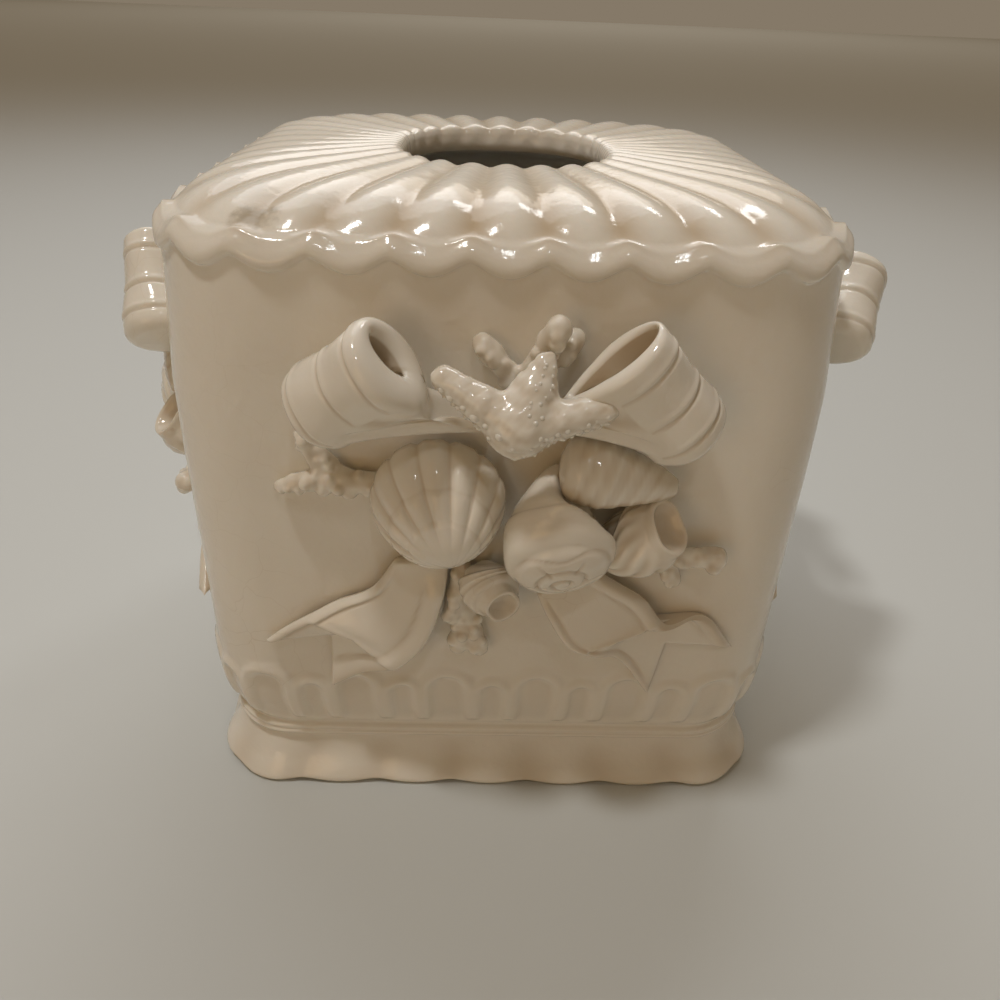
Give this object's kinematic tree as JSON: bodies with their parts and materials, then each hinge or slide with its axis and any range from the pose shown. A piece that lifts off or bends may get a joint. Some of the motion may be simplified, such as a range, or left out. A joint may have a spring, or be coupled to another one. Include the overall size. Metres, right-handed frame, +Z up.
{
  "type": "tissue box cover",
  "caption": "Square glazed ceramic cover with a ribbed, scalloped roof, an oval tissue opening and a spray of bow, starfish, seashells and coral on each wall.",
  "frame": {"origin": "middle of the open base, on the surface that the cover stands on", "axes": "+Z up through the tissue opening, -Y out of the front wall, +X to the right as seen from the front"},
  "size_m": [0.183, 0.183, 0.1425],
  "materials": {
    "glaze": "glossy"
  },
  "bodies": {
    "root": {"cover_body": "glaze", "front_bow_loop_left": "glaze", "front_bow_loop_right": "glaze", "front_bow_tail_left": "glaze", "front_bow_tail_right": "glaze", "front_starfish": "glaze", "front_scallop_shell": "glaze", "front_moon_snail": "glaze", "front_cone_shell": "glaze", "front_turban_shell": "glaze", "front_small_snail": "glaze", "front_coral_top": "glaze", "front_coral_left": "glaze", "front_coral_right": "glaze", "front_coral_bottom": "glaze", "right_bow_loop_left": "glaze", "right_bow_loop_right": "glaze", "right_bow_tail_left": "glaze", "right_bow_tail_right": "glaze", "right_starfish": "glaze", "right_scallop_shell": "glaze", "right_moon_snail": "glaze", "right_cone_shell": "glaze", "right_turban_shell": "glaze", "right_small_snail": "glaze", "right_coral_top": "glaze", "right_coral_left": "glaze", "right_coral_right": "glaze", "right_coral_bottom": "glaze", "back_bow_loop_left": "glaze", "back_bow_loop_right": "glaze", "back_bow_tail_left": "glaze", "back_bow_tail_right": "glaze", "back_starfish": "glaze", "back_scallop_shell": "glaze", "back_moon_snail": "glaze", "back_cone_shell": "glaze", "back_turban_shell": "glaze", "back_small_snail": "glaze", "back_coral_top": "glaze", "back_coral_left": "glaze", "back_coral_right": "glaze", "back_coral_bottom": "glaze", "left_bow_loop_left": "glaze", "left_bow_loop_right": "glaze", "left_bow_tail_left": "glaze", "left_bow_tail_right": "glaze", "left_starfish": "glaze", "left_scallop_shell": "glaze", "left_moon_snail": "glaze", "left_cone_shell": "glaze", "left_turban_shell": "glaze", "left_small_snail": "glaze", "left_coral_top": "glaze", "left_coral_left": "glaze", "left_coral_right": "glaze", "left_coral_bottom": "glaze"}
  },
  "joints": []
}
